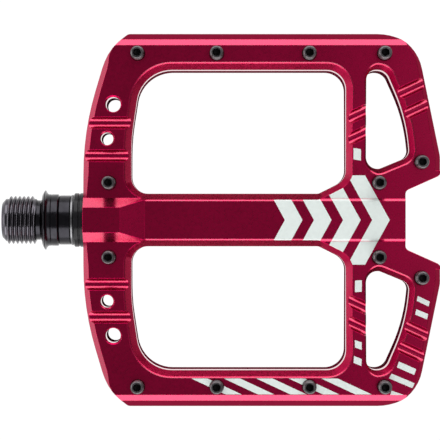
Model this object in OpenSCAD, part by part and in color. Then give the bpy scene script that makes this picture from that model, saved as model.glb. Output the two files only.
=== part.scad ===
// Flat platform pedal for a bicycle, machined from one aluminium block.
// X runs along the spindle, away from the crank arm. Y runs fore and aft.
// Z is up through one tread face; the other tread face is its mirror image.
// The origin is where the spindle's axis meets the crank side of its flange.

/* [Platform] */
// Crank-side end of the platform, measured from the flange
inboard_x = 12.3; // [11:0.1:15]
// Width of the platform fore and aft
tread_width = 110.4; // [95:0.1:115]
// Thickness of the front and rear rails
rail_thickness = 17; // [14:0.5:20]
// Thickness of the spar that holds the bearings
spar_thickness = 13.4; // [13:0.1:15]
// Radius of the shallow dish in each tread face
dish_radius = 450; // [300:10:900]
// Half thickness of the dish at its lowest
dish_half = 6.15; // [5.9:0.05:6.5]
// Width of the bevel around the windows
bevel_width = 2.2; // [1:0.1:3]
// Drop of that bevel for each millimetre of its width
bevel_slope = 1.25; // [0.8:0.05:1.6]
// Width of the broken edge between the tread and a bevel
edge_break = 0.42; // [0.2:0.02:0.5]
// Drop of the broken edge over its width
break_slope = 0.45; // [0.3:0.05:0.7]
// Radius of the round channels across the rails
channel_radius = 1.75; // [1:0.05:2]
// Depth of those channels
channel_depth = 1.5; // [0.5:0.1:1.7]

/* [Traction pins] */
// Outer radius of a traction pin
pin_radius = 2; // [1.5:0.1:2.5]
// Height a pin stands above the tread
pin_proud = 4.4; // [3:0.1:6]
// Length of pin held in the platform
pin_held = 4.9; // [4:0.1:6]
// Across the flats of a pin's hex socket
pin_socket = 2; // [1.5:0.5:2.5]
// Radial clearance of a pin in its hole
pin_clearance = 0.02; // [0.01:0.01:0.05]

/* [Spindle] */
// Major radius of the crank thread, nine sixteenths of an inch across
thread_radius = 7.144; // [7:0.001:7.2]
// Pitch of the crank thread, twenty to the inch
thread_pitch = 1.27; // [1:0.01:1.5]
// Number of full thread crests
thread_turns = 7; // [5:1:9]
// Length of the spindle on the crank side of the flange
thread_end = 11.95; // [11:0.05:14]
// Radius of the thin flange
flange_radius = 8.85; // [8:0.05:10]
// Radius of the shoulder beside the flange
shoulder_radius = 7.7; // [7:0.05:8]
// Radius of the journal that turns in the plain bush
journal_radius = 6; // [5:0.1:6.5]
// Running clearance of the journal in its bush
journal_clearance = 0.04; // [0.02:0.01:0.08]
// Wall of that plain bush
bush_wall = 0.86; // [0.7:0.02:0.9]
// Radius of the seat for the ball bearings
seat_radius = 3.5; // [3:0.1:4]
// Across the flats of the hex key socket
key_flats = 8; // [6:1:8]

/* [Ball bearings] */
// Outer radius of a bearing
bearing_radius = 5.5; // [5:0.1:6]
// Width of a bearing
bearing_width = 3; // [2.5:0.1:4]
// How much of any wider space between seat and housing a ball takes up
ball_share = 0.7; // [0.6:0.05:0.75]
// Clearance of a ball in its raceways
ball_clearance = 0.03; // [0.01:0.01:0.05]
// Number of balls in each bearing
ball_count = 9; // [7:1:10]

/* [Hidden] */
$fn = 64;
rail_half = rail_thickness / 2;
spar_half = spar_thickness / 2;
half_width = tread_width / 2;
dish_edge = sqrt(2 * dish_radius * (rail_half - dish_half));
outboard_x = inboard_x + 95.4;
bush_radius = journal_radius + journal_clearance + bush_wall;
bush_lip = bush_radius + 0.5;
bush_x = inboard_x + 1.9;
bush_end = inboard_x + 12.7;
seal_radius = bush_radius + 1.15;
collar_radius = journal_radius + 1.35;
pitch_radius = (seat_radius + bearing_radius) / 2;
ball_radius = 0.35 + ball_share * (bearing_radius - seat_radius) / 4;
ring_gap = 0.225 * (bearing_radius - seat_radius);
cage_half = 0.125 * (bearing_radius - seat_radius);
bearing_x = [66, 84, 84 + bearing_width + 0.04];
washer_x = bearing_x[2] + bearing_width;
clip_x = washer_x + 0.02;
nut_x = washer_x + 1.06;
collar_x = 4.85;
shim_x = 8.57;
seal_x = inboard_x - 2.9;
cap_x = outboard_x - 6.2;
rail_pin_y = half_width - 6.1;
window_y = half_width - 10.8;
side_arc = 3 * (window_y - 18.85) - 26.05;

// Corners of the platform's plan for Y above zero, from the outboard notch
// round to the crank side. Each one is X past the inboard face, Y and radius.
plan_corners = [
  [95.4, 8.6, 1.5],
  [105.9, 13.3, 2],
  [105.9, 18.8, 8],
  [98.05, half_width, 13.4],
  [13.3, half_width, 1.6],
  [7, rail_pin_y, 18],
  [0, half_width - 29, 84]
];
// Corners of a main window, at the vertical part of its wall
main_window = [
  [14.2, 7.8, 5],
  [69.9, 7.8, 3],
  [77.85, 11.8, 5],
  [77.85, window_y, 5.8],
  [17.3, window_y, 10.5],
  [14.2, 24, 60]
];
// Corners of an outboard window, at the vertical part of its wall
side_window = [
  [83.7, 13.44, 3.5],
  [96.8, 18.85, 3],
  [95.66, 10.26 + 0.4557 * window_y, side_arc],
  [89.55, window_y, 3.8],
  [83.7, window_y, 3]
];
// Pins of one half of the platform: the rail's four, then three near the spar
rail_pins = [16.25, 39.55, 66.85, 89];
spar_pins = [7.65, 87.6];
spar_pin_y = 11;
corner_pin = [100.1, 17.1];
// Channels: X past the inboard face, Y and angle from the spindle's line
channels = [
  [7, 28.67, 0],
  [7, 19, 0],
  [80.9, 31.1, 25],
  [80.9, 24.8, 25],
  [96.6, 38.6, 25],
  [98.45, 32.65, 25]
];
channel_reach = [8.6, 8.4, 3.9, 3.9, 8, 7];
// Lightening holes: X past the inboard face, Y and radius
light_holes = [
  [9, 34.1, 2.2],
  [7.15, 24, 1.85]
];

// ---- plan outlines -------------------------------------------------------

function unit2(v) = v / norm(v);

// Height of the tread above the spindle's axis, at a distance from that axis
function tread_z(y) =
  abs(y) < dish_edge ? dish_half + y * y / (2 * dish_radius) : rail_half;

// Points of one rounded corner, each with its outward normal
function corner_arc(a, b, c, r) =
  let (
    back = unit2(a - b),
    ahead = unit2(c - b),
    half = acos(back * ahead) / 2,
    reach = r / tan(half),
    centre = b + unit2(back + ahead) * r / sin(half),
    side = cross(b - a, c - b) > 0 ? 1 : -1,
    first = b + back * reach - centre,
    turn = 180 - 2 * half,
    steps = max(2, ceil(turn / (r > 50 ? 3 : 8))),
    start = atan2(first[1], first[0])
  )
  [
    for (i = [0:steps])
      let (
        t = start + side * turn * i / steps,
        d = [cos(t), sin(t)]
      )
      [centre[0] + r * d[0], centre[1] + r * d[1], side * d[0], side * d[1]]
  ];

// A closed outline through rounded corners that run anticlockwise
function outline(c) =
  let (n = len(c))
  [
    for (i = [0:n - 1])
      let (
        a = c[(i + n - 1) % n],
        b = c[i],
        d = c[(i + 1) % n]
      )
      for (p = corner_arc([a[0], a[1]], [b[0], b[1]], [d[0], d[1]], b[2])) p
  ];

function flip_y(c) = [for (i = [len(c) - 1:-1:0]) [c[i][0], -c[i][1], c[i][2]]];

// Width of a window's bevel where its wall faces a given way
function main_bevel(n) = bevel_width * (1 - 0.27 * max(0, -n[3]));
function side_bevel(n) = bevel_width * (0.86 - 0.62 * max(0, -n[2]));

// Width of the broken edge above a bevel, which runs out beside the spar
function main_break(n) = edge_break * (1 - max(0, -n[3]));
function side_break(n) = edge_break * (1 - 0.4 * max(0, -n[2]));

// Width of the chamfer on the crank side and on the outboard side
function left_chamfer(y) =
  0.05 + 1.55 * sin(90 * max(0, min(1, (49.6 - y) / 5))) * (y < 9 ? 0.6 : 1);
function right_chamfer(y) = 0.05 + 1.7 * sin(90 * min(1, (54.7 - y) / 16));

// ---- platform cutters ----------------------------------------------------

// One level of a window cutter: the outline pushed out, at a given height
function level(pts, push, z) =
  [for (i = [0:len(pts) - 1])
    [pts[i][0] + pts[i][2] * push[i], pts[i][1] + pts[i][3] * push[i], z[i]]];

// A window right through the platform, with bevels that follow the dish
module window_cutter(pts, widths, breaks) {
  n = len(pts);
  all = [0:n - 1];
  spare = 0.8;
  none = [for (i = all) 0];
  out = [for (w = widths) w + spare];
  inner = [for (i = all) widths[i] - breaks[i]];
  top = [for (i = all) tread_z(pts[i][1] + pts[i][3] * widths[i])];
  rise = [for (i = all) bevel_slope + (break_slope - bevel_slope) * breaks[i] / edge_break];
  brim = [for (i = all) top[i] - rise[i] * breaks[i]];
  edge = [for (i = all) brim[i] - bevel_slope * inner[i]];
  lip = [for (i = all) top[i] + rise[i] * spare];
  far = [for (i = all) 14];
  rings = concat(
    level(pts, out, -far),
    level(pts, out, -lip),
    level(pts, inner, -brim),
    level(pts, none, -edge),
    level(pts, none, edge),
    level(pts, inner, brim),
    level(pts, out, lip),
    level(pts, out, far)
  );
  faces = concat(
    [[for (i = [0:n - 1]) i]],
    [for (k = [0:6]) for (i = [0:n - 1])
      let (j = (i + 1) % n)
      [k * n + i, (k + 1) * n + i, (k + 1) * n + j]],
    [for (k = [0:6]) for (i = [0:n - 1])
      let (j = (i + 1) % n)
      [k * n + i, (k + 1) * n + j, k * n + j]],
    [[for (i = [n - 1:-1:0]) 7 * n + i]]
  );
  polyhedron(points = rings, faces = faces);
}

// A chamfer along part of the plan's edge, on the upper tread
module edge_cutter(pts, widths, slope) {
  n = len(pts);
  over = 0.8;
  section = [
    for (i = [0:n - 1])
      let (
        p = pts[i],
        w = widths[i],
        z = tread_z(p[1])
      )
      each [
        [p[0] + p[2] * over, p[1] + p[3] * over, z + over],
        [p[0] - p[2] * (w + over / slope), p[1] - p[3] * (w + over / slope), z + over],
        [p[0] + p[2] * over, p[1] + p[3] * over, z - slope * (w + over)]
      ]
  ];
  faces = concat(
    [[2, 1, 0]],
    [for (i = [0:n - 2]) for (k = [0:2])
      let (m = (k + 1) % 3)
      [3 * i + 3 + m, 3 * i + 3 + k, 3 * i + k]],
    [for (i = [0:n - 2]) for (k = [0:2])
      let (m = (k + 1) % 3)
      [3 * i + m, 3 * i + 3 + m, 3 * i + k]],
    [[3 * n - 3, 3 * n - 2, 3 * n - 1]]
  );
  polyhedron(points = section, faces = faces);
}

module both_sides() {
  children();
  mirror([0, 1, 0]) children();
}

module both_faces() {
  children();
  mirror([0, 0, 1]) children();
}

module along_x() {
  rotate([0, 90, 0]) children();
}

// A bar along X with the section given as Y and Z
module bar(length, section) {
  rotate([90, 0, 90]) linear_extrude(height = length) polygon(section);
}

module channel(c, reach) {
  z = tread_z(c[1]) + channel_radius - channel_depth;
  translate([c[0], c[1], z])
    rotate([0, 0, c[2]])
      rotate([0, 90, 0])
        cylinder(r = channel_radius, h = 2 * reach, center = true);
}

// The block in plan, dished on both faces, with faceted front and rear edges
module slab() {
  corners = concat(plan_corners, flip_y(plan_corners));
  plan = [for (p = outline(corners)) [p[0], p[1]]];
  difference() {
    linear_extrude(height = rail_thickness, center = true) polygon(plan);
    both_faces()
      translate([-1, 0, 0])
        bar(outboard_x, concat(
          [for (i = [-12:12]) let (y = dish_edge * i / 12) [y, tread_z(y)]],
          [[dish_edge, rail_half + 2], [-dish_edge, rail_half + 2]]
        ));
    both_faces()
      both_sides()
        translate([-1, 0, 0])
          bar(outboard_x, [
            [half_width - 3.65, rail_half],
            [half_width - 1.9, rail_half - 1.1],
            [half_width + 1, rail_half - 6.1],
            [half_width + 1, rail_half + 2],
            [half_width - 3.65, rail_half + 2]
          ]);
  }
}

// The tube that carries the bearings, with its boss at the crank side
module spar() {
  s = spar_half;
  low = s - 0.38;
  bar(95.4, [
    [-5.6, -s], [5.6, -s], [6.2, -low], [7.4, -low + 1.55],
    [7.4, low - 1.55], [6.2, low], [5.6, s], [-5.6, s],
    [-6.2, low], [-7.4, low - 1.55], [-7.4, -low + 1.55], [-6.2, -low]
  ]);
  intersection() {
    bar(20, [
      [-3.7, -9], [3.7, -9], [6.5, -6.2], [6.5, 6.2],
      [3.7, 9], [-3.7, 9], [-6.5, 6.2], [-6.5, -6.2]
    ]);
    translate([0, 8, 0])
      rotate([90, 0, 0])
        linear_extrude(height = 16)
          polygon([
            [0, -9], [11, -9], [19.5, -6.3], [19.5, 6.3], [11, 9], [0, 9]
          ]);
  }
}

// Bores along the spindle's axis, from the crank side to the end cap
module spindle_bores() {
  along_x() {
    translate([0, 0, -1]) cylinder(r = bush_lip, h = bush_x - inboard_x + 1.8);
    translate([0, 0, 2]) cylinder(r = bush_radius, h = bush_end - inboard_x - 1.8);
    cylinder(r = bearing_radius - 0.45, h = 60);
    translate([0, 0, bearing_x[0] - inboard_x]) cylinder(r = bearing_radius, h = 60);
    translate([0, 0, clip_x - 0.02 - inboard_x]) cylinder(r = bearing_radius + 0.5, h = 0.74);
    translate([0, 0, 94.9]) cylinder(r1 = bearing_radius, r2 = bearing_radius + 0.6, h = 0.6);
  }
}

module pin_hole(x, y) {
  z = tread_z(y);
  translate([x, y, 0]) cylinder(r = pin_radius + pin_clearance, h = 24, center = true);
  both_faces()
    translate([x, y, z - 0.3])
      cylinder(r1 = pin_radius + pin_clearance, r2 = pin_radius + 0.2, h = 0.48);
}

module light_hole(h) {
  z = tread_z(h[1]);
  translate([h[0], h[1], 0]) cylinder(r = h[2], h = 24, center = true);
  both_faces()
    translate([h[0], h[1], z - 0.35])
      cylinder(r1 = h[2], r2 = h[2] + 0.5, h = 0.5);
}

module platform_body() {
  main_pts = outline(main_window);
  side_pts = outline(side_window);
  edge_pts = outline(concat(plan_corners, flip_y(plan_corners)));
  left_pts = [for (p = edge_pts) if (p[0] < 9.6 && p[1] > 8) p];
  left_all = concat(left_pts, [[0, 6.6, -1, 0]]);
  right_pts = [for (p = edge_pts) if (p[0] > 95 && p[1] > 14.5 && p[1] < 54.6) p];
  color("crimson")
    translate([inboard_x, 0, 0])
      difference() {
        union() {
          slab();
          spar();
        }
        spindle_bores();
        both_sides() {
          window_cutter(
            main_pts, [for (p = main_pts) main_bevel(p)], [for (p = main_pts) main_break(p)]
          );
          window_cutter(
            side_pts, [for (p = side_pts) side_bevel(p)], [for (p = side_pts) side_break(p)]
          );
          both_faces() {
            edge_cutter(left_all, [for (p = left_all) left_chamfer(p[1])], 1.2);
            edge_cutter(right_pts, [for (p = right_pts) right_chamfer(p[1])], 1.6);
            for (i = [0:len(channels) - 1]) channel(channels[i], channel_reach[i]);
          }
          for (x = rail_pins) pin_hole(x, rail_pin_y);
          for (x = spar_pins) pin_hole(x, spar_pin_y);
          pin_hole(corner_pin[0], corner_pin[1]);
          for (h = light_holes) light_hole(h);
        }
      }
}

// ---- traction pins -------------------------------------------------------

// Points of a row of V grooves, from one end to the other
function thread_points(start, count, pitch, r, depth) =
  let (
    flank = depth * tan(30),
    flat = pitch / 8
  )
  [
    for (i = [0:count - 1])
      let (z = start + i * pitch)
      each [
        [r - depth, z],
        [r, z + flank],
        [r, z + flank + flat],
        [r - depth, z + 2 * flank + flat]
      ]
  ];

// A socket head grub screw, its socket up and its top at the given height
module pin(top, y) {
  length = pin_held + pin_proud;
  r = pin_radius;
  translate([0, y, top - length])
    difference() {
      rotate_extrude()
        polygon(concat(
          [[0, 0], [r - 0.5, 0], [r, 0.5], [r, pin_held]],
          thread_points(pin_held + 0.25, 5, 0.7, r, 0.3),
          [[r, length - 0.55], [r - 0.35, length], [0, length]]
        ));
      translate([0, 0, length - 2.2])
        cylinder(r = pin_socket / sqrt(3), h = 3, $fn = 6);
    }
}

module pin_set(xs, y) {
  top = tread_z(abs(y)) + pin_proud;
  color("dimgray")
    for (x = xs) translate([inboard_x + x, 0, 0]) pin(top, y);
}

module front_pins_top() {
  pin_set(rail_pins, rail_pin_y);
}

module front_pins_bottom() {
  mirror([0, 0, 1]) pin_set(rail_pins, rail_pin_y);
}

module rear_pins_top() {
  pin_set(rail_pins, -rail_pin_y);
}

module rear_pins_bottom() {
  mirror([0, 0, 1]) pin_set(rail_pins, -rail_pin_y);
}

module outboard_pins_top() {
  pin_set([corner_pin[0]], corner_pin[1]);
  pin_set([corner_pin[0]], -corner_pin[1]);
}

module outboard_pins_bottom() {
  mirror([0, 0, 1]) outboard_pins_top();
}

module spar_pins_top() {
  pin_set(spar_pins, spar_pin_y);
  pin_set(spar_pins, -spar_pin_y);
}

module spar_pins_bottom() {
  mirror([0, 0, 1]) spar_pins_top();
}

// ---- pieces that turn with the platform ----------------------------------

module ring(x, length, inner, outer) {
  translate([x, 0, 0])
    along_x()
      difference() {
        cylinder(r = outer, h = length);
        translate([0, 0, -1]) cylinder(r = inner, h = length + 2);
      }
}

module inboard_seal() {
  inner = journal_radius + 0.06;
  outer = seal_radius;
  color("black")
    along_x()
      rotate_extrude()
        polygon([
          [inner + 0.5, seal_x], [outer - 0.3, seal_x], [outer, seal_x + 0.3], [outer, seal_x + 1.3],
          [outer - 0.25, seal_x + 1.5], [outer - 0.25, seal_x + 1.7], [outer, seal_x + 1.9],
          [outer, inboard_x], [bush_lip, inboard_x], [bush_lip, bush_x], [inner + 0.3, bush_x],
          [inner + 0.3, inboard_x - 0.3], [inner, inboard_x - 0.7], [inner, seal_x + 1.2],
          [inner + 0.3, seal_x + 0.8]
        ]);
}

module journal_bush() {
  inner = journal_radius + journal_clearance;
  color("tan")
    along_x()
      rotate_extrude()
        polygon([
          [inner, bush_x + 0.3], [inner + 0.3, bush_x], [bush_lip, bush_x],
          [bush_lip, bush_x + 0.8], [bush_radius, bush_x + 0.8], [bush_radius, bush_end - 0.3],
          [bush_radius - 0.3, bush_end], [inner, bush_end]
        ]);
}

// A bearing ring with its raceway, between two radii
module raced_ring(x, inner, outer) {
  translate([x, 0, 0])
    along_x()
      rotate_extrude()
        difference() {
          translate([inner, 0]) square([outer - inner, bearing_width]);
          translate([pitch_radius, bearing_width / 2])
            circle(r = ball_radius + ball_clearance);
        }
}

module bearing_outer_rings() {
  color("silver")
    for (x = bearing_x) raced_ring(x, pitch_radius + ring_gap, bearing_radius);
}

module bearing_inner_rings() {
  color("silver")
    for (x = bearing_x) raced_ring(x, seat_radius, pitch_radius - ring_gap);
}

module bearing_shields() {
  color("gray")
    for (x = bearing_x) {
      ring(x + 0.1, 0.16, pitch_radius - 0.3, pitch_radius + ring_gap);
      ring(x + bearing_width - 0.26, 0.16, pitch_radius - 0.3, pitch_radius + ring_gap);
    }
}

module outer_spacer() {
  x = bearing_x[0] + bearing_width;
  color("silver") ring(x, bearing_x[1] - x, pitch_radius + ring_gap, bearing_radius);
}

// A snap ring with a gap and two small eyes for the pliers
module retaining_ring() {
  color("dimgray")
    translate([clip_x, 0, 0])
      along_x()
        difference() {
          cylinder(r = bearing_radius + 0.46, h = 0.7);
          translate([0, 0, -1]) cylinder(r = bearing_radius - 0.6, h = 3);
          translate([-8, -1.4, -1]) cube([8, 2.8, 3]);
          for (t = [160, 200])
            rotate([0, 0, t]) translate([bearing_radius - 0.15, 0, -1]) cylinder(r = 0.25, h = 3, $fn = 32);
        }
}

module end_cap() {
  r = bearing_radius - 0.02;
  color("crimson")
    along_x()
      difference() {
        rotate_extrude()
          polygon([
            [0, cap_x], [r - 0.4, cap_x], [r, cap_x + 0.4], [r, cap_x + 0.8],
            [r - 0.98, cap_x + 0.8], [r - 0.98, cap_x + 1.9], [r, cap_x + 1.9],
            [r, outboard_x - 0.9], [r - 0.4, outboard_x - 0.5], [0, outboard_x - 0.5]
          ]);
        translate([0, 0, outboard_x - 4]) cylinder(r = 6 / sqrt(3), h = 5, $fn = 6);
      }
}

module end_cap_seal() {
  color("black")
    translate([cap_x + 1.35, 0, 0])
      along_x()
        rotate_extrude() translate([bearing_radius - 0.51, 0]) circle(r = 0.48, $fn = 32);
}

// ---- pieces that stay with the crank arm ---------------------------------

module spindle() {
  r = thread_radius;
  j = journal_radius;
  s = shoulder_radius;
  depth = 0.61 * thread_pitch;
  first = -thread_end + 1.02;
  last = first + thread_turns * thread_pitch;
  color("dimgray")
    along_x()
      difference() {
        rotate_extrude()
          polygon(concat(
            [[0, -thread_end], [5.3, -thread_end], [5.65, -thread_end + 0.35], [r - depth, first - 0.05]],
            thread_points(first, thread_turns, thread_pitch, r, depth),
            [[6.1, last + 0.1], [5.9, last + 0.3], [5.9, -0.6], [6.2, -0.3], [7.2, 0]],
            [[7.75, 0], [flange_radius - 0.1, 0.6], [flange_radius, 0.7], [flange_radius, 0.9]],
            [for (t = [0:15:90]) [s + 0.75 - 0.75 * sin(t), 1.8 - 0.75 * cos(t)]],
            [[s, 2.5], [s - 0.2, 2.62], [s, 2.74], [s, 4.55], [s - 0.3, collar_x]],
            [[j, collar_x], [j, bush_end - 1.6]],
            [[j - 1.4, bush_end - 0.2], [j - 1.4, 64]],
            [[seat_radius + 0.5, 65], [seat_radius + 0.5, bearing_x[0]]],
            [[seat_radius, bearing_x[0]], [seat_radius, washer_x - 0.14], [3, washer_x - 0.14], [3, 92.2]],
            thread_points(92.4, 4, 1, 3, 0.5),
            [[2.6, 96.5], [2.1, 97], [0, 97]]
          ));
        translate([0, 0, -thread_end - 1])
          cylinder(r = key_flats / sqrt(3), h = 8.5, $fn = 6);
        translate([0, 0, -thread_end - 0.01])
          cylinder(r1 = key_flats / sqrt(3) + 0.3, r2 = 3.9, h = 0.9);
      }
}

module spacer_collar() {
  inner = journal_radius + 0.02;
  outer = collar_radius;
  color("dimgray")
    along_x()
      rotate_extrude()
        polygon([
          [inner, collar_x], [outer - 0.35, collar_x], [outer, collar_x + 0.35],
          [outer, shim_x - 0.4], [outer - 0.35, shim_x - 0.05], [inner, shim_x - 0.05]
        ]);
}

module shim_washer() {
  color("silver") ring(shim_x, 0.5, journal_radius + 0.02, collar_radius + 0.15);
}

module inner_spacer() {
  x = bearing_x[0] + bearing_width;
  color("silver") ring(x, bearing_x[1] - x, seat_radius, pitch_radius - ring_gap);
}

module lock_washer() {
  color("silver") ring(washer_x, nut_x - washer_x, 3.04, 4);
}

module lock_nut() {
  color("silver")
    translate([nut_x, 0, 0])
      along_x()
        difference() {
          intersection() {
            cylinder(r = 9 / sqrt(3), h = 4.3, $fn = 6);
            rotate_extrude()
              polygon([[0, 0], [4.5, 0], [5.25, 0.43], [5.25, 3.87], [4.5, 4.3], [0, 4.3]]);
          }
          translate([0, 0, -1]) cylinder(r = 3.02, h = 7);
        }
}

// ---- balls and cages, carried round at their own speed -------------------

module bearing_balls() {
  color("white")
    for (x = bearing_x)
      for (i = [0:ball_count - 1])
        translate([x + bearing_width / 2, 0, 0])
          rotate([360 * i / ball_count, 0, 0])
            translate([0, 0, pitch_radius]) sphere(r = ball_radius, $fn = 32);
}

module ball_cages() {
  color("goldenrod")
    for (x = bearing_x)
      difference() {
        ring(x + 0.55, bearing_width - 1.1, pitch_radius - cage_half, pitch_radius + cage_half);
        for (i = [0:ball_count - 1])
          translate([x + bearing_width / 2, 0, 0])
            rotate([360 * i / ball_count, 0, 0])
              translate([0, 0, pitch_radius - 1]) cylinder(r = ball_radius + 0.02, h = 2);
      }
}

platform_body();
inboard_seal();
journal_bush();
bearing_outer_rings();
bearing_shields();
outer_spacer();
retaining_ring();
end_cap();
end_cap_seal();
front_pins_top();
front_pins_bottom();
rear_pins_top();
rear_pins_bottom();
outboard_pins_top();
outboard_pins_bottom();
spar_pins_top();
spar_pins_bottom();
spindle();
spacer_collar();
shim_washer();
bearing_inner_rings();
inner_spacer();
lock_washer();
lock_nut();
bearing_balls();
ball_cages();
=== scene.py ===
"""Looks of a flat bicycle pedal: a red anodised platform on a black steel spindle.

Lengths in the pieces below are millimetres until a mesh is made of them.
X runs along the spindle away from the crank, Y fore and aft, Z up through a tread.
"""

import math

import bmesh
import bpy
import numpy as np
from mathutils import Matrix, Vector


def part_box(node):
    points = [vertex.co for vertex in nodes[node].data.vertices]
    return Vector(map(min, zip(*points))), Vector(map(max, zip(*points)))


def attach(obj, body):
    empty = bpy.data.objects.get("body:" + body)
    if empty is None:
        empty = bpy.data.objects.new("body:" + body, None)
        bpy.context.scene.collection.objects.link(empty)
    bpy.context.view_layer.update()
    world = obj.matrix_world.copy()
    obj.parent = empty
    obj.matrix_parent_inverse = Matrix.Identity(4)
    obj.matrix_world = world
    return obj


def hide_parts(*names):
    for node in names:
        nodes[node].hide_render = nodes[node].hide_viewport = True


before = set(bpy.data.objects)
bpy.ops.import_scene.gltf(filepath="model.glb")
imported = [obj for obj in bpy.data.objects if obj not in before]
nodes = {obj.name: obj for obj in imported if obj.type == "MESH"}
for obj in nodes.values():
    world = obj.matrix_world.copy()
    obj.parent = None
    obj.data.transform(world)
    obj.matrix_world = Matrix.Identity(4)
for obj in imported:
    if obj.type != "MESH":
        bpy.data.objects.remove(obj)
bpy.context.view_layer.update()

MM = 0.001
TAU = 2 * math.pi

# The platform in millimetres: where its crank side begins along X, half its length fore and aft, half its thickness
# at the rails and in the middle of the dish, and the radius of the dish
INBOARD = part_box("platform_body")[0][0] / MM
HALF_WIDTH = 55.2
RAIL_HALF = 8.5
DISH_HALF = 6.15
DISH_RADIUS = 450.0
# Lightening holes in the crank bar: x from its crank side, y, radius
LIGHT_HOLES = [(9.0, 34.1, 2.2), (7.15, 24.0, 1.85)]
# How far the pins stand out of the tread
PIN_PROUD = 4.4
# Where the colour of the crank thread gives way to that of the rest of the axle, along X
THREAD_ENDS = (-2.1, -1.8)
# In metres: height of the floor, just under the circle that the platform sweeps as it turns, and half its width
FLOOR_Z, FLOOR_HALF = -0.0565, 4.0


# ---- surfaces --------------------------------------------------------------


def tread_height(y):
    """Height of the tread: a shallow parabola in y that ends at the flat rails."""
    return np.minimum(DISH_HALF + np.square(y) / (2 * DISH_RADIUS), RAIL_HALF)


def eased(profile, radius):
    """Profile with each corner rounded by three points of a parabola that touches both of its sides.

    The parabola starts at the given distance from the corner, or at 0.4 of a side that is too short for it.
    """
    p = np.array(profile, float)
    out = [p[0]]
    for before, corner, after in zip(p[:-2], p[1:-1], p[2:]):
        back, ahead = before - corner, after - corner
        back_length, ahead_length = np.linalg.norm(back), np.linalg.norm(ahead)
        d = min(radius, 0.4 * back_length, 0.4 * ahead_length)
        first, last = corner + back / back_length * d, corner + ahead / ahead_length * d
        out += [first, 0.25 * first + 0.5 * corner + 0.25 * last, last]
    out.append(p[-1])
    return np.array(out)


def hexagon(t, flats):
    """Distance from the centre of a hexagon to its side, at each angle t, for its width across flats."""
    return flats / 2 / np.cos(np.mod(t, TAU / 6) - TAU / 12)


def turned_with_socket(profile, floor, mouth, flats, bevel, columns):
    """Surface of revolution whose first rows are a hexagon socket.

    Each point at angle t is (along, r cos t, r sin t). In the socket r is the hexagon's distance at that angle, and
    near the mouth the larger of that and a cone, so the cone leaves six arcs. The floor is a shallow point, as a
    drill leaves it. The rest is the profile's (along, radius) points carried round the axis.
    """
    t = np.arange(columns) * TAU / columns
    wall = hexagon(t, flats)
    side = np.sign(floor - mouth)
    depth = np.linspace(0, bevel, 6)[::-1]
    cone = flats / math.sqrt(3) + 0.3 * bevel - depth
    along = [floor + 0.18 * side * flats, floor, mouth + side * bevel * 1.6] + list(mouth + side * depth)
    rows = [0 * wall, wall, wall] + [np.maximum(wall, c) for c in cone]
    p = np.array(profile, float)
    along = np.concatenate([along, p[:, 0]])
    r = np.concatenate([np.array(rows), p[:, 1:2] * np.ones((1, columns))])
    return np.stack([along[:, None] * np.ones((1, columns)), r * np.cos(t), r * np.sin(t)], -1)


def helix_ridge(start, turns, pitch, root, crest, foot, top, hand, columns):
    """Thread ridge: a flat-topped section, foot wide at the root and top wide at the crest, carried along a helix.

    At angle t its middle is at start + pitch t / 2 pi, and its height grows from nothing over the first third of a
    turn and goes back to nothing over the last. Both ends close to a point below the root. Hand is 1 for a
    right-hand thread and -1 for a left-hand one.
    """
    t = np.linspace(0, turns * TAU, int(turns * columns) + 1)
    rise = np.clip(np.minimum(t, turns * TAU - t) / (TAU / 3), 0, 1)
    rise = rise * rise * (3 - 2 * rise)
    ease = 0.12 * (foot - top)
    across = np.array([-foot / 2, -top / 2 - ease, -top / 2 + ease, top / 2 - ease, top / 2 + ease, foot / 2])
    level = np.array([0, 0.84, 1, 1, 0.84, 0])
    low = root - 0.04
    r = low + (crest - low) * level[:, None] * rise
    spread = np.ones_like(t)
    spread[[0, -1]] = 0
    along = start + pitch * t / TAU + across[:, None] * spread
    return np.stack([along, r * np.cos(hand * t), r * np.sin(hand * t)], -1)


def stand_up(points, at, way, spin):
    """Turned points stood upright at a place, pointing up for way 1 and down for way -1, spun by an angle.

    Along X becomes along Z, and the other two are turned by the angle: c cos s - d sin s, and c sin s + d cos s.
    """
    a, c, d = points[..., 0], points[..., 1], points[..., 2]
    c, d = c * math.cos(spin) - d * math.sin(spin), c * math.sin(spin) + d * math.cos(spin)
    return np.stack([at[0] + c, at[1] + way * d, at[2] * way + way * a], -1)


# Degrees between two faces up to which a turned piece is shaded smooth
SMOOTH_UP_TO = 34


def piece(name, sheets, finish, body, replaced):
    """One object from grids of points.

    Each grid is (points, wraps down its rows, wraps along its columns, how many of its first rows lie in a socket).
    Those rows carry a number that the finish reads to paint shade inside the socket.
    """
    verts, faces, socket_shade, base = [], [], [], 0
    for points, wrap_rows, wrap_columns, deep in sheets:
        rows, columns = points.shape[:2]
        i = np.arange(rows if wrap_rows else rows - 1)[:, None]
        j = np.arange(columns if wrap_columns else columns - 1)[None, :]
        i2, j2 = (i + 1) % rows, (j + 1) % columns
        quad = np.stack([i * columns + j, i * columns + j2, i2 * columns + j2, i2 * columns + j], -1)
        verts.append(points.reshape(-1, 3) * MM)
        faces.append(quad.reshape(-1, 4) + base)
        socket_shade.append(np.repeat((np.arange(rows) < deep).astype(np.float32), columns))
        base += rows * columns
    verts, faces = np.concatenate(verts), np.concatenate(faces)
    mesh = bpy.data.meshes.new(name)
    mesh.from_pydata(verts.tolist(), [], faces.tolist())
    mesh.attributes.new("socket_shade", "FLOAT", "POINT").data.foreach_set("value", np.concatenate(socket_shade))
    finish_mesh(name, mesh, finish, body, replaced)


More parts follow.
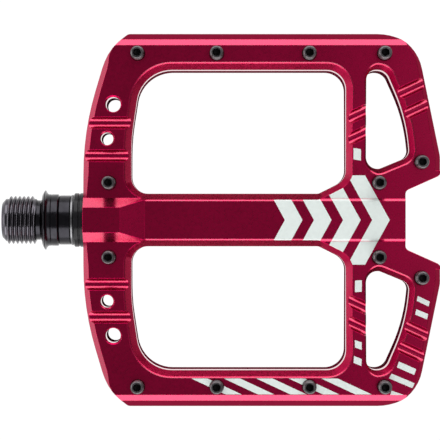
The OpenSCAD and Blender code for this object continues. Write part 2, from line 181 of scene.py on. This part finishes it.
def finish_mesh(name, mesh, finish, body, replaced):
    """Merges doubled points, turns the faces outwards and shades them smooth up to an angle, and makes the object.

    The object rides on its body, in place of the solids that it replaces.
    """
    b = bmesh.new()
    b.from_mesh(mesh)
    bmesh.ops.remove_doubles(b, verts=b.verts, dist=2e-7)
    bmesh.ops.dissolve_degenerate(b, edges=b.edges, dist=1e-8)
    bmesh.ops.recalc_face_normals(b, faces=b.faces)
    b.to_mesh(mesh)
    b.free()
    mesh.polygons.foreach_set("use_smooth", np.ones(len(mesh.polygons), bool))
    mesh.set_sharp_from_angle(angle=math.radians(SMOOTH_UP_TO))
    obj = bpy.data.objects.new(name, mesh)
    bpy.context.scene.collection.objects.link(obj)
    mesh.materials.append(finish)
    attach(obj, body)
    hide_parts(*replaced)


# ---- finishes --------------------------------------------------------------


class Wiring:
    """Small helper that adds nodes to one material and joins them."""

    def __init__(self, name):
        self.material = bpy.data.materials.new(name)
        self.material.use_nodes = True
        self.tree = self.material.node_tree
        self.shader = self.tree.nodes["Principled BSDF"]
        self.place = self.add("ShaderNodeTexCoord").outputs["Object"]

    def add(self, kind, **settings):
        node = self.tree.nodes.new(kind)
        for key, value in settings.items():
            setattr(node, key, value)
        return node

    def join(self, source, target):
        self.tree.links.new(source, target)

    def math(self, operation, a, b=None, c=None):
        """One Math node. Each input is a number or another node's output."""
        node = self.add("ShaderNodeMath", operation=operation)
        for socket, value in zip(node.inputs, (a, b, c)):
            if value is None:
                continue
            if isinstance(value, (int, float)):
                socket.default_value = value
            else:
                self.join(value, socket)
        return node.outputs[0]

    def noise(self, scale, detail=3.0, roughness=0.5, stretch=(1, 1, 1)):
        """Noise in object space, scale in features per metre, squeezed along each axis by stretch."""
        mapping = self.add("ShaderNodeMapping")
        mapping.inputs["Scale"].default_value = stretch
        self.join(self.place, mapping.inputs["Vector"])
        node = self.add("ShaderNodeTexNoise")
        node.inputs["Scale"].default_value = scale
        node.inputs["Detail"].default_value = detail
        node.inputs["Roughness"].default_value = roughness
        self.join(mapping.outputs["Vector"], node.inputs["Vector"])
        return node.outputs["Fac"]

    def span(self, value, low, high, from_low=0.3, from_high=0.7):
        """A 0 to 1 pattern carried to a range."""
        node = self.add("ShaderNodeMapRange")
        ends = {"From Min": from_low, "From Max": from_high, "To Min": low, "To Max": high}
        for name, number in ends.items():
            node.inputs[name].default_value = number
        self.join(value, node.inputs["Value"])
        return node.outputs["Result"]

    def blend(self, factor, a, b):
        """Colour from a to b as factor goes from 0 to 1. A colour is a tuple or another node's output."""
        # a Mix node's sockets for colours are its inputs 6 and 7 and its output 2
        node = self.add("ShaderNodeMix", data_type="RGBA")
        if isinstance(factor, (int, float)):
            node.inputs["Factor"].default_value = factor
        else:
            self.join(factor, node.inputs["Factor"])
        for socket, value in ((node.inputs[6], a), (node.inputs[7], b)):
            if isinstance(value, tuple):
                socket.default_value = (*value, 1)
            else:
                self.join(value, socket)
        return node.outputs[2]

    def broken_edges(self, radius):
        """Normals rounded over sharp edges, as a deburred edge is, with its radius in metres."""
        node = self.add("ShaderNodeBevel", samples=6)
        node.inputs["Radius"].default_value = radius
        return node.outputs["Normal"]

    def relief(self, pattern, height, after=None):
        """A bump of a pattern, height in metres."""
        node = self.add("ShaderNodeBump")
        node.inputs["Strength"].default_value = 1.0
        node.inputs["Distance"].default_value = height
        self.join(pattern, node.inputs["Height"])
        if after is not None:
            self.join(after, node.inputs["Normal"])
        return node.outputs["Normal"]

    def parts(self):
        """The three object coordinates."""
        node = self.add("ShaderNodeSeparateXYZ")
        self.join(self.place, node.inputs[0])
        return node.outputs


def between(w, value, low, high):
    """1 where a value lies between two numbers, in metres."""
    middle, half = (low + high) / 2, (high - low) / 2
    return w.math("LESS_THAN", w.math("ABSOLUTE", w.math("SUBTRACT", value, middle)), half)


def times(colour, k):
    """A colour made lighter or darker by a factor."""
    return tuple(min(1.0, c * k) for c in colour)


def steel(name, colour, rough, metal=1.0, lathe=0.0, coat=0.0, wear=None, socket=False, thread=None):
    """Machined or blackened metal: mottled colour, uneven polish, fine grain and lathe rings along X.

    Lathe is the height of the rings in metres. Wear is the colour of the scuffs, and a socket is painted darker
    inside as painted shade.
    Thread is the colour of the axle up to the flange, where the threads are.
    """
    w = Wiring(name)
    mottle = w.span(w.noise(420.0, detail=4.0), 0.0, 1.0)
    paint = w.blend(mottle, times(colour, 0.78), times(colour, 1.2))
    if thread:
        last, first = THREAD_ENDS
        on_thread = w.span(w.parts()[0], 1.0, 0.0, from_low=last * MM, from_high=first * MM)
        paint = w.blend(on_thread, paint, w.blend(mottle, times(thread, 0.7), thread))
    if wear:
        scuffs = w.span(w.noise(1900.0, detail=5.0, roughness=0.7, stretch=(0.25, 1, 1)), 0.0, 1.0, 0.62, 0.8)
        paint = w.blend(w.math("MULTIPLY", scuffs, 0.55), paint, wear)
    # painted shade: the inside of a socket is darkened to a tenth of its colour, where shade falls deep in it
    if socket:
        deep = w.add("ShaderNodeAttribute", attribute_name="socket_shade").outputs["Fac"]
        paint = w.blend(deep, paint, times(colour, 0.1))
    w.join(paint, w.shader.inputs["Base Color"])
    w.join(w.span(w.noise(900.0, detail=4.0, roughness=0.6), rough * 0.8, rough * 1.25), w.shader.inputs["Roughness"])
    w.shader.inputs["Metallic"].default_value = metal
    w.shader.inputs["Coat Weight"].default_value = coat
    w.shader.inputs["Coat Roughness"].default_value = 0.12
    normal = w.relief(w.noise(5200.0, detail=2.0), 2.5e-6)
    if lathe:
        rings = w.noise(1.0, detail=2.0, roughness=0.6, stretch=(9000.0, 60.0, 60.0))
        normal = w.relief(rings, lathe, normal)
    w.join(normal, w.shader.inputs["Normal"])
    return w.material


def rubber(name, colour, rough):
    """Moulded rubber: near-black, softly mottled, with a fine pebble and dusty bloom."""
    w = Wiring(name)
    bloom = tuple(c * 1.5 + 0.002 for c in colour)
    dusty = w.span(w.noise(650.0, detail=5.0, roughness=0.6), 0.0, 1.0)
    w.join(w.blend(dusty, colour, bloom), w.shader.inputs["Base Color"])
    w.join(w.span(w.noise(1400.0, detail=3.0), rough * 0.85, rough * 1.2), w.shader.inputs["Roughness"])
    w.shader.inputs["Specular IOR Level"].default_value = 0.18
    w.join(w.relief(w.noise(4200.0, detail=3.0), 1.5e-6), w.shader.inputs["Normal"])
    return w.material


# The dye varies between two reds
RED_DARK = (0.386, 0.0014, 0.047)
RED_LIGHT = (0.458, 0.0022, 0.057)
INK = (0.598, 0.651, 0.625)
# Gloss of the marked finish on its flats and on its bevels
FLAT_GLOSS, BEVEL_GLOSS = 0.22, 0.95
# Roughness that print adds, and that facing the crank adds to a bevel
DULLING = 0.2


def anodised(name, marked, shade=1.0, rough=0.28, coat=0.6, rim=(1.0, 1.0, 1.0)):
    """Dyed anodised aluminium, with pale printed bars on the flats of the treads where marked is true.

    Rim is the colour it turns to at a grazing angle. On the marked finish the flats have less gloss than the bevels,
    and bevels that face the crank are a little duller than the others. Its light factor scales the dye's colour for
    copies of the red: below 1 it is painted shade, above 1 a painted highlight.
    """
    w = Wiring(name)
    cloud = w.span(w.noise(34.0, detail=3.0, roughness=0.5), 0.0, 1.0)
    paint = w.blend(cloud, times(RED_DARK, shade), times(RED_LIGHT, shade))
    polish = w.span(w.noise(1100.0, detail=3.0, roughness=0.5), rough * 0.9, rough * 1.12)
    tool_lines = w.noise(1.0, detail=2.0, roughness=0.5, stretch=(55.0, 1500.0, 900.0))
    normal = w.relief(w.noise(2600.0, detail=2.0, roughness=0.5), 4e-7, w.broken_edges(0.0003))
    normal = w.relief(tool_lines, 9e-7, normal)
    w.shader.inputs["Metallic"].default_value = 1.0
    w.shader.inputs["Specular Tint"].default_value = (*rim, 1)
    w.shader.inputs["Coat Weight"].default_value = coat
    w.shader.inputs["Coat Roughness"].default_value = 0.15
    if marked:
        glossy = w.add("ShaderNodeAttribute", attribute_name="glossy_bevel").outputs["Fac"]
        gloss = w.span(glossy, FLAT_GLOSS, BEVEL_GLOSS, from_low=0.0, from_high=1.0)
        w.join(gloss, w.shader.inputs["Coat Weight"])
        dull = w.add("ShaderNodeAttribute", attribute_name="crank_facing").outputs["Fac"]
        polish = w.math("MULTIPLY_ADD", dull, DULLING, polish)
        ink = printed_bars(w)
        speck = w.span(w.noise(3600.0, detail=4.0, roughness=0.7), 0.82, 1.0, 0.25, 0.4)
        shown = w.math("MULTIPLY", ink, speck)
        pale = w.blend(w.span(w.noise(800.0, detail=3.0), 0.0, 1.0), INK, times(INK, 1.06))
        paint = w.blend(shown, paint, pale)
        polish = w.math("ADD", polish, w.math("MULTIPLY", shown, DULLING))
        w.join(w.math("SUBTRACT", 1.0, shown), w.shader.inputs["Metallic"])
    w.join(paint, w.shader.inputs["Base Color"])
    w.join(polish, w.shader.inputs["Roughness"])
    w.join(normal, w.shader.inputs["Normal"])
    return w.material


def rough_wall_painted_shade(name):
    """Dull, rough wall whose colour is painted dark as painted shade, with fine upright cutter lines and no gloss."""
    w = Wiring(name)
    lines = w.noise(1.0, detail=3.0, roughness=0.6, stretch=(4200.0, 4200.0, 300.0))
    # painted shade: the wall's colours are near-black
    dark, light = (0.07, 0.004, 0.012), (0.13, 0.008, 0.024)
    w.join(w.blend(w.span(lines, 0.0, 1.0), dark, light), w.shader.inputs["Base Color"])
    w.join(w.span(w.noise(2200.0, detail=3.0), 0.62, 0.8), w.shader.inputs["Roughness"])
    w.shader.inputs["Specular IOR Level"].default_value = 0.0
    w.join(w.relief(lines, 4e-6), w.shader.inputs["Normal"])
    return w.material


# Printed bars that stand alone. Each is bounded by two lines that lean and two that slope, in millimetres:
# lean, then x less lean times y from and to; slope, then y less slope times x from and to
BARS = [
    (0.34, 119.75, 125.58, -0.44, 2.76, 4.73),
    (0.57, 129.18, 137.72, -0.42, -3.56, -1.84),
    (0.34, 120.50, 125.60, -0.35, -16.2, -14.1),
    (0.00, 92.65, 94.63, -0.35, -5.18, -3.01),
    (0.09, 95.99, 98.35, -0.41, -4.30, -2.23),
    (0.00, 92.30, 94.48, -0.16, 32.70, 36.05),
    (0.01, 92.92, 94.94, 0.06, -26.90, -23.48),
    (0.24, 116.70, 120.59, -0.48, 29.38, 30.98),
    (0.21, 116.34, 120.14, -0.41, 17.36, 19.08),
]
# Slanted stripes on one rail: their slope in degrees, a point (x, y) on the first one's side, the pitch along x, the
# width along x, how many there are, and the band of y that they fill
STRIPE_SLOPE, STRIPE_START, STRIPE_BAND = 25, (44.6, -46.8), (-51.4, -46.7)
STRIPE_PITCH, STRIPE_WIDTH, STRIPES = 9.57, 4.8, 5
# Chevrons at the outboard end of the spar: how far their arms trail for each millimetre off the spindle's line, where
# the first one starts, their pitch and width along x, how many there are, and how far off the line the arms reach
CHEVRON_TRAIL, CHEVRON_START, CHEVRON_REACH = 0.55, 72.0, 13.2
CHEVRON_PITCH, CHEVRON_WIDTH, CHEVRONS = 8.6, 5.2, 4


def row_of(w, along, pitch, width, count):
    """1 on each of a row of bands, which repeat along a value that is 0 where the row starts."""
    band = w.math("LESS_THAN", w.math("MODULO", along, pitch * MM), width * MM)
    return w.math("MULTIPLY", band, between(w, along, 0, count * pitch * MM))


def printed_bars(w):
    """1 where the tread is printed: a row of slanted stripes on one rail, bars that stand alone, and chevrons.

    A slanted stripe repeats along x plus y over the tangent of its slope. A bar is a four-sided patch.
    A chevron repeats along x plus a share of the distance from the spindle's line.
    """
    x, y = w.parts()[:2]
    shear = 1 / math.tan(math.radians(STRIPE_SLOPE))
    run = w.math("MULTIPLY_ADD", y, shear, x)
    run = w.math("SUBTRACT", run, (STRIPE_START[0] + shear * STRIPE_START[1]) * MM)
    stripes = row_of(w, run, STRIPE_PITCH, STRIPE_WIDTH, STRIPES)
    found = w.math("MULTIPLY", stripes, between(w, y, STRIPE_BAND[0] * MM, STRIPE_BAND[1] * MM))
    for lean, u0, u1, fall, v0, v1 in BARS:
        u = w.math("MULTIPLY_ADD", y, -lean, x)
        v = w.math("MULTIPLY_ADD", x, -fall, y)
        bar = w.math("MULTIPLY", between(w, u, u0 * MM, u1 * MM), between(w, v, v0 * MM, v1 * MM))
        found = w.math("MAXIMUM", found, bar)
    off = w.math("ABSOLUTE", y)
    arrow = w.math("SUBTRACT", w.math("MULTIPLY_ADD", off, CHEVRON_TRAIL, x), CHEVRON_START * MM)
    chevrons = row_of(w, arrow, CHEVRON_PITCH, CHEVRON_WIDTH, CHEVRONS)
    reach = w.math("LESS_THAN", off, CHEVRON_REACH * MM)
    found = w.math("MAXIMUM", found, w.math("MULTIPLY", chevrons, reach))
    flat = w.add("ShaderNodeAttribute", attribute_name="tread_flat")
    return w.math("MULTIPLY", found, w.math("GREATER_THAN", flat.outputs["Fac"], 0.5))


# ---- the platform ----------------------------------------------------------


# The platform's four finishes, by their place in its list of materials
TREAD, SHADED_STEEP_EDGE, UPPER_WALL_HIGHLIGHT, SHADED_LOWER_WALL = range(4)
# Height in metres at which a wall passes from its upper part, with a painted highlight, to its rougher lower part,
# with painted shade
WALL_STEP = 0.0022
# The box, in metres, that holds the walls of the windows: x from and to, distance from the spindle's line from and to
WINDOW_WALLS = (0.0255, 0.1093, 0.0077, 0.0448)
# Degrees between two faces up to which they are shaded smooth: two flats of the tread, and any other two
FLAT_CREASE, CREASE = 2.0, 13.0
# How far a face points up or down, from 0 to 1: below the first two it is a wall or steep, above the last it is flat
WALL, STEEP, FLAT = 0.3, 0.62, 0.97
# Distance in millimetres from the spindle's line at which the narrow edges of the spar lie, from and to
SPAR_EDGE = (5.5, 6.3)
# Along X in metres: where the bevel of the crank side ends, and where the outboard end begins
CRANK_SIDE_END, OUTBOARD_END = 0.02, 0.108


def mark_creases(mesh, normal, flat):
    """Marks an edge sharp where its two faces turn by more than a limit, or where it hasn't two faces."""
    corners = len(mesh.loops)
    edge_of, size = np.zeros(corners, np.int32), np.zeros(len(mesh.polygons), np.int32)
    mesh.loops.foreach_get("edge_index", edge_of)
    mesh.polygons.foreach_get("loop_total", size)
    face_of = np.repeat(np.arange(len(size)), size)
    order = np.argsort(edge_of, kind="stable")
    ends = np.cumsum(np.bincount(edge_of, minlength=len(mesh.edges)))
    starts = np.concatenate([[0], ends[:-1]])
    one, two = face_of[order[starts]], face_of[order[ends - 1]]
    turn = np.degrees(np.arccos(np.clip((normal[one] * normal[two]).sum(1), -1, 1)))
    limit = np.where((flat[one] > 0) & (flat[two] > 0), FLAT_CREASE, CREASE)
    sharp = (turn > limit) | (ends - starts != 2)
    crease = mesh.attributes.get("sharp_edge") or mesh.attributes.new("sharp_edge", "BOOLEAN", "EDGE")
    crease.data.foreach_set("value", sharp)


def face_value(mesh, name, value):
    """Writes one number for each face into an attribute."""
    mesh.attributes.new(name, "FLOAT", "FACE").data.foreach_set("value", value.astype(np.float32))


def dressed_platform(finishes):
    """The platform's own shape with its points merged, in four finishes.

    The first is for the treads, bevels and chamfers, the next for the steep front and rear edges, in a darker copy of
    the red as painted shade, the third for the upper part of the walls of windows and holes, in a lighter copy as a
    painted highlight, and the last for the lower part, where the cut is rougher and painted shade darkens it.
    Three numbers for each face say where the tread is flat, where a bevel faces the crank and where it is glossy.
    """
    mesh = nodes["platform_body"].data.copy()
    mesh.name = "platform"
    mesh.materials.clear()
    if mesh.has_custom_normals:
        mesh.attributes.remove(mesh.attributes["custom_normal"])
    b = bmesh.new()
    b.from_mesh(mesh)
    bmesh.ops.remove_doubles(b, verts=b.verts, dist=2e-6)
    bmesh.ops.dissolve_degenerate(b, edges=b.edges, dist=1e-6)
    walls = [f for f in b.faces if abs(f.normal.z) < WALL]
    around = {e for f in walls for e in f.edges} | {v for f in walls for v in f.verts}
    cut = {"plane_co": (0, 0, WALL_STEP), "plane_no": (0, 0, 1)}
    bmesh.ops.bisect_plane(b, geom=walls + list(around), dist=1e-7, **cut)
    b.to_mesh(mesh)
    b.free()
    count = len(mesh.polygons)
    normal, middle = np.zeros(count * 3), np.zeros(count * 3)
    mesh.polygons.foreach_get("normal", normal)
    mesh.polygons.foreach_get("center", middle)
    normal, middle = normal.reshape(-1, 3), middle.reshape(-1, 3)
    x, y, z = middle[:, 0], np.abs(middle[:, 1]), middle[:, 2]
    outboard, level = normal[:, 0], np.abs(normal[:, 2])

    # finishes: walls of windows and holes, with a painted highlight above and painted shade below, then the steep
    # edges at the front, rear and outboard end, with painted shade
    upright = level < WALL
    x0, x1, y0, y1 = WINDOW_WALLS
    inner_wall = upright & (y > y0) & (y < y1) & (x > x0) & (x < x1)
    for hole_x, hole_y, r in LIGHT_HOLES:
        from_hole = np.hypot(x - (INBOARD + hole_x) * MM, y - hole_y * MM)
        inner_wall |= upright & (from_hole < (r + 0.1) * MM)
    kind = np.where(inner_wall, np.where(z < WALL_STEP, SHADED_LOWER_WALL, UPPER_WALL_HIGHLIGHT), TREAD)
    # painted shade: the steep edges take a darker copy of the red
    steep = level < STEEP
    kind = np.where(steep & (y > (HALF_WIDTH - 2.0) * MM), SHADED_STEEP_EDGE, kind)
    kind = np.where(steep & ~upright & (outboard > 0.5) & (x > OUTBOARD_END), SHADED_STEEP_EDGE, kind)
    mesh.polygons.foreach_set("material_index", kind.astype(np.int32))

    # the spar's narrow edges count as flat, so that print runs over them
    spar_edge = (level > 0.8) & (y > SPAR_EDGE[0] * MM) & (y < SPAR_EDGE[1] * MM)
    flat = (level > FLAT) | spar_edge
    face_value(mesh, "tread_flat", flat)
    faces_crank = np.clip((-outboard - 0.2) / 0.4, 0, 1)
    face_value(mesh, "crank_facing", faces_crank * (kind == TREAD) * (x > CRANK_SIDE_END) * (level < 0.9))
    face_value(mesh, "glossy_bevel", np.clip((0.6 - outboard) / 0.4, 0, 1) * (level < 0.94))
    mesh.polygons.foreach_set("use_smooth", np.ones(count, bool))
    mark_creases(mesh, normal, flat)
    obj = bpy.data.objects.new("platform", mesh)
    bpy.context.scene.collection.objects.link(obj)
    for finish in finishes:
        mesh.materials.append(finish)
    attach(obj, "platform")
    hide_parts("platform_body")


# ---- pins ------------------------------------------------------------------


PIN_LENGTH = 9.3
# A pin's outline from its top to its buried end: distance from that end, radius
PIN_OUTLINE = [
    (PIN_LENGTH, 1.3), (PIN_LENGTH, 1.6), (8.95, 1.92), (8.72, 1.92), (8.58, 1.74),
    (5.0, 1.74), (4.75, 2.0), (0.5, 2.0), (0.0, 1.5), (0.0, 0.0),
]
# Rows of points that lie in a socket, inside which the finish paints shade
SOCKET_ROWS = 8


def grub_screw(at, way, spin):
    """A traction pin: plain in its hole, threaded where it stands proud, with a hexagon socket in its top."""
    core = eased(PIN_OUTLINE, 0.07)
    body = turned_with_socket(core, floor=7.2, mouth=PIN_LENGTH, flats=2.0, bevel=0.22, columns=48)
    ridge = helix_ridge(
        start=4.85, turns=5.3, pitch=0.7, root=1.74, crest=2.0, foot=0.55, top=0.12, hand=1, columns=40
    )
    buried_end = (at[0], at[1], at[2] - PIN_LENGTH)
    return [
        (stand_up(body, buried_end, way, spin), False, True, SOCKET_ROWS),
        (stand_up(ridge, buried_end, way, spin), True, False, 0),
    ]


# Where the pins stand: x from the platform's crank side, y
RAIL_PINS = [16.25, 39.55, 66.85, 89.0]
PIN_SETS = {
    "front_pins": [(x, 49.1) for x in RAIL_PINS],
    "rear_pins": [(x, -49.1) for x in RAIL_PINS],
    "outboard_pins": [(100.1, 17.1), (100.1, -17.1)],
    "spar_pins": [(x, y) for x in (7.65, 87.6) for y in (11.0, -11.0)],
}


def pin_sets(finish):
    """The pins of both treads, each at its own angle, as screws come to rest."""
    for name, places in PIN_SETS.items():
        for side, way in (("top", 1), ("bottom", -1)):
            sheets = []
            for i, (x, y) in enumerate(places):
                top = float(tread_height(y)) + PIN_PROUD
                sheets += grub_screw((INBOARD + x, y, top), way, spin=0.35 + 1.3 * i + 0.6 * way)
            piece(f"{name}_{side}_screws", sheets, finish, "platform", [f"{name}_{side}"])


# ---- the spindle -----------------------------------------------------------


# The axle's outline from the crank end: x, radius
AXLE_OUTLINE = [
    # end, root of the crank thread and relief groove
    (-11.95, 5.3), (-11.6, 5.65), (-10.95, 6.33), (-1.95, 6.33), (-1.75, 5.9), (-0.6, 5.9), (-0.3, 6.2), (0.0, 7.2),
    # thin flange
    (0.0, 7.75), (0.6, 8.75), (0.7, 8.85), (0.9, 8.85), (1.05, 8.45), (1.25, 8.12), (1.5, 7.88), (1.8, 7.7),
    # shoulder with its groove, journal
    (2.5, 7.7), (2.62, 7.5), (2.74, 7.7), (4.55, 7.7), (4.85, 7.4), (4.85, 6.0), (23.4, 6.0), (24.8, 4.6),
    # stem, bearing seat, root of the nut's thread, outboard end
    (64.0, 4.6), (65.0, 4.0), (66.0, 4.0), (66.0, 3.5), (89.9, 3.5), (89.9, 3.0), (92.2, 3.0), (92.5, 2.6),
    (96.0, 2.6), (96.5, 2.5), (97.0, 2.0), (97.0, 0.0),
]


def spindle_axle(finish):
    """The axle: a hexagon socket, a left-hand crank thread, a thin flange, the shoulder, and the bearings' stem."""
    outline = eased(AXLE_OUTLINE, 0.12)
    axle = turned_with_socket(outline, floor=-4.45, mouth=-11.95, flats=8.0, bevel=0.9, columns=144)
    crank_thread = helix_ridge(
        start=-10.75, turns=6.95, pitch=1.27, root=6.33, crest=7.144, foot=1.08, top=0.16, hand=-1, columns=96
    )
    nut_thread = helix_ridge(
        start=92.5, turns=3.6, pitch=1.0, root=2.6, crest=3.0, foot=0.8, top=0.14, hand=1, columns=48
    )
    sheets = [(axle, False, True, SOCKET_ROWS), (crank_thread, True, False, 0), (nut_thread, True, False, 0)]
    piece("spindle_axle", sheets, finish, "spindle_body", ["spindle"])


# ---- put together ----------------------------------------------------------

red_marked = anodised("anodised_red_printed", True)
red_plain = anodised("anodised_red", False)
pin_finish = steel("black_oxide_screw", (0.125, 0.115, 0.12), 0.34, wear=(0.24, 0.21, 0.22), socket=True)
axle_black, thread_grey = (0.024, 0.023, 0.027), (0.1, 0.093, 0.107)
axle_finish = steel(
    "black_polished_steel", axle_black, 0.2, lathe=1.2e-6, coat=0.1, socket=True, thread=thread_grey
)
bright_finish = steel("bright_steel", (0.58, 0.57, 0.55), 0.24, lathe=1.5e-6)
rubber_finish = rubber("black_rubber", (0.006, 0.006, 0.007), 0.2)

# Pieces whose solid has the right shape, and only takes a finish
SOLIDS = {
    "inboard_seal": rubber_finish,
    "end_cap_seal": rubber_finish,
    "journal_bush": steel("bush_polymer", (0.30, 0.21, 0.11), 0.5, metal=0.0, lathe=1e-6),
    "bearing_outer_rings": bright_finish,
    "bearing_inner_rings": bright_finish,
    "bearing_shields": steel("shield_steel", (0.36, 0.36, 0.37), 0.35, lathe=1e-6),
    "outer_spacer": steel("spacer_steel", (0.45, 0.45, 0.46), 0.32, lathe=2e-6),
    "inner_spacer": steel("sleeve_steel", (0.45, 0.45, 0.46), 0.32, lathe=2e-6),
    "retaining_ring": steel("spring_steel", (0.10, 0.10, 0.11), 0.4),
    "end_cap": red_plain,
    "spacer_collar": steel("black_collar_steel", (0.022, 0.021, 0.025), 0.22, lathe=1.2e-6, coat=0.1),
    "shim_washer": steel("shim_steel", (0.17, 0.17, 0.175), 0.3, lathe=1e-6),
    "lock_washer": bright_finish,
    "lock_nut": steel("nut_steel", (0.42, 0.42, 0.43), 0.3, lathe=1e-6),
    "bearing_balls": steel("ball_steel", (0.66, 0.66, 0.67), 0.08),
    "ball_cages": steel("cage_brass_steel", (0.50, 0.44, 0.32), 0.35),
}
for name, finish in SOLIDS.items():
    nodes[name].data.materials.clear()
    nodes[name].data.materials.append(finish)

# painted shade: a darker copy of the red, with a rim that reflects less at a grazing angle, for the steep edges
red_edge_painted_shade = anodised("anodised_red_edge_painted_shade", False, shade=0.46, rough=0.32, coat=0.0, rim=(1.0, 0.55, 0.6))
# painted highlight: a lighter, glossier copy of the red for the upper part of the walls
red_wall_painted_highlight = anodised("anodised_red_wall_painted_highlight", False, shade=1.6, rough=0.12)
dressed_platform([red_marked, red_edge_painted_shade, red_wall_painted_highlight, rough_wall_painted_shade("anodised_red_rough_cut_painted_shade")])
pin_sets(pin_finish)
spindle_axle(axle_finish)


# ---- floor, lamps and camera -------------------------------------------------


def pale_floor():
    """A wide plain floor. What the camera or a mirror sees of it is lifted towards white, and the shadow stays."""
    w = Wiring("pale_floor")
    out = w.tree.nodes["Material Output"]
    w.tree.nodes.remove(w.shader)
    matt = w.add("ShaderNodeBsdfDiffuse")
    matt.inputs["Color"].default_value = (0.9, 0.9, 0.9, 1)
    glow = w.add("ShaderNodeEmission")
    glow.inputs["Color"].default_value = (1, 1, 1, 1)
    glow.inputs["Strength"].default_value = 1.04
    path = w.add("ShaderNodeLightPath").outputs
    mirrored = w.math("MAXIMUM", path["Is Glossy Ray"], path["Is Transmission Ray"])
    seen = w.math("MAXIMUM", path["Is Camera Ray"], mirrored)
    mix = w.add("ShaderNodeMixShader")
    w.join(w.math("MULTIPLY", seen, 0.9), mix.inputs[0])
    w.join(matt.outputs[0], mix.inputs[1])
    w.join(glow.outputs[0], mix.inputs[2])
    w.join(mix.outputs[0], out.inputs["Surface"])
    mesh = bpy.data.meshes.new("floor")
    r = FLOOR_HALF
    corners = [(-r, -r, FLOOR_Z), (r, -r, FLOOR_Z), (r, r, FLOOR_Z), (-r, r, FLOOR_Z)]
    mesh.from_pydata(corners, [], [(0, 1, 2, 3)])
    floor = bpy.data.objects.new("floor", mesh)
    mesh.materials.append(w.material)
    bpy.context.scene.collection.objects.link(floor)


# In metres: the point on the X axis that the lamps face, and how far off they stand
LAMP_AIM_X, LAMP_DISTANCE = 0.053, 1.0


def lamp(name, polar, azimuth, width, height, level):
    """A flat soft lamp that faces the pedal, at an angle from straight up and one round from +X, both in degrees.

    Level is how bright its face is, so its power is level times its area times pi.
    """
    p, a = math.radians(polar), math.radians(azimuth)
    light = bpy.data.lights.new(name, "AREA")
    light.shape = "RECTANGLE"
    light.size, light.size_y = width, height
    light.energy = level * width * height * math.pi
    obj = bpy.data.objects.new(name, light)
    obj.location = (
        LAMP_AIM_X + LAMP_DISTANCE * math.sin(p) * math.cos(a),
        LAMP_DISTANCE * math.sin(p) * math.sin(a),
        LAMP_DISTANCE * math.cos(p),
    )
    obj.rotation_euler = (p, 0, a + math.pi / 2)
    obj.visible_camera = False
    bpy.context.scene.collection.objects.link(obj)


pale_floor()
lamp("front_softbox", 64, -90, width=1.8, height=1.0, level=3.0)
lamp("rear_softbox", 64, 90, width=1.8, height=1.0, level=2.9)
lamp("crank_side_softbox", 76, 180, width=0.8, height=0.55, level=3.2)
lamp("outboard_glow", 18, 0, width=0.6, height=0.26, level=0.8)

world = bpy.data.worlds.new("studio")
world.use_nodes = True
background = world.node_tree.nodes["Background"].inputs
background["Color"].default_value = (0.22, 0.22, 0.228, 1)
background["Strength"].default_value = 1.0
bpy.context.scene.world = world

# In metres: the point on the X axis that the camera is over, its height, and how wide it sees at the axis
CAMERA_X, CAMERA_HEIGHT, VIEW_WIDTH = 0.05283, 0.6, 0.1315
SENSOR = 36.0
camera = bpy.data.cameras.new("camera")
camera.sensor_width = SENSOR
camera.lens = SENSOR * CAMERA_HEIGHT / VIEW_WIDTH
camera.clip_start, camera.clip_end = 0.05, 20.0
view = bpy.data.objects.new("camera", camera)
view.location = (CAMERA_X, 0.0, CAMERA_HEIGHT)
bpy.context.scene.collection.objects.link(view)
bpy.context.scene.camera = view
bpy.context.scene.view_settings.view_transform = "Standard"
